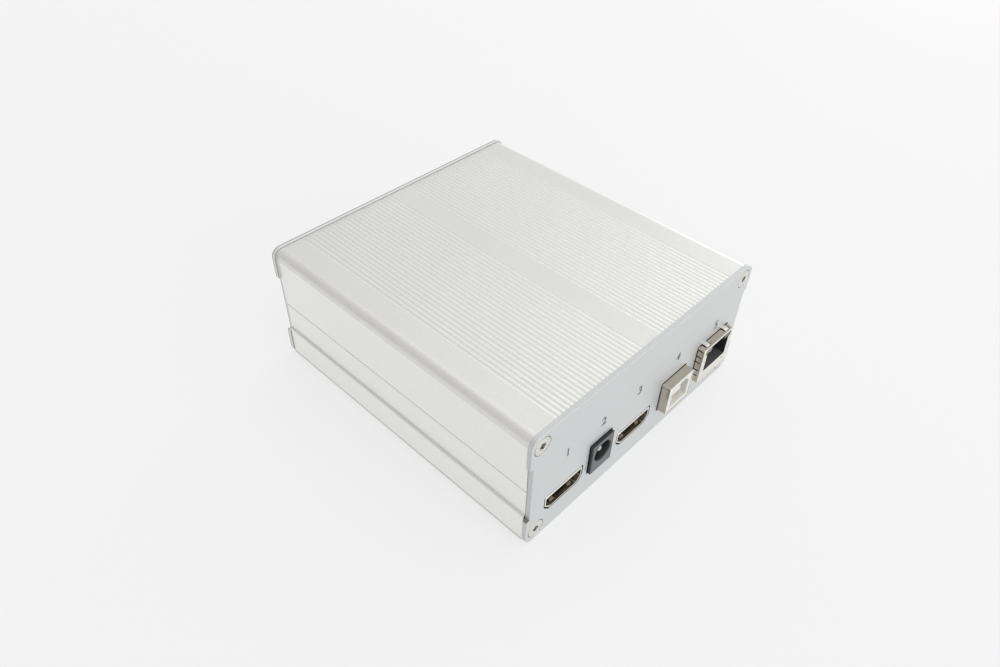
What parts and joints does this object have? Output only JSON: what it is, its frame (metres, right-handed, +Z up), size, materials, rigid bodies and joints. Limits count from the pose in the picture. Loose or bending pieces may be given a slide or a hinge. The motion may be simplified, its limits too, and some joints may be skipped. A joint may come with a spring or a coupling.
{
  "type": "kvm extender",
  "caption": "Small desktop signal extender in a ridged aluminium box, with video, power, square host and link sockets on its front panel.",
  "frame": {"origin": "centre of the underside, midway between the two end panels", "axes": "+X to the right along the front panel, +Y from the front panel to the rear, +Z up"},
  "size_m": [0.098, 0.1091, 0.042],
  "materials": {
    "shell": "bead-blasted, clear anodised",
    "panel": "fine matt, clear anodised",
    "screw": "nickel-plated, satin",
    "board": "green solder mask",
    "nickel": "nickel-plated sheet",
    "black_plastic": "moulded, slightly glossy",
    "white_plastic": "moulded",
    "contact": "gold-plated",
    "clear_window": "clear, faintly pink",
    "green_window": "clear, greenish",
    "chip": "moulded epoxy",
    "pad": "soft",
    "sink": "milled",
    "ferrite": "pressed, dull",
    "can": "drawn can",
    "ceramic": "fired, dull"
  },
  "bodies": {
    "case": {"upper_shell": "shell", "lower_shell": "shell", "front_panel": "panel", "rear_panel": "panel", "front_screws": "screw", "rear_screws": "screw", "main_board": "board", "video_out_shell": "nickel", "video_out_insert": "black_plastic", "video_out_contacts": "contact", "video_in_shell": "nickel", "video_in_insert": "black_plastic", "video_in_contacts": "contact", "power_socket_body": "black_plastic", "power_socket_pin": "nickel", "power_socket_spring": "nickel", "host_port_shield": "nickel", "host_port_insert": "white_plastic", "host_port_contacts": "contact", "link_socket_shield": "nickel", "link_socket_housing": "black_plastic", "link_socket_contacts": "contact", "link_left_window": "clear_window", "link_right_window": "green_window", "reset_switch": "black_plastic", "status_light_holder": "black_plastic", "status_light": "green_window", "main_chip": "chip", "heat_pad": "pad", "heat_sink": "sink", "memory_chips": "chip", "link_chip": "chip", "link_transformer": "black_plastic", "port_chip": "chip", "flash_chip": "chip", "power_inductors": "ferrite", "tall_capacitors": "can", "power_regulators": "chip", "clock_crystals": "can", "ceramic_capacitors": "ceramic"},
    "button": {"reset_button": "black_plastic"}
  },
  "joints": [
    {"name": "reset_press", "type": "slide", "parent": "case", "child": "button", "axis": [0, -1, 0], "range_m": [0, 0.0008], "stiffness_N_per_m": 800}
  ]
}
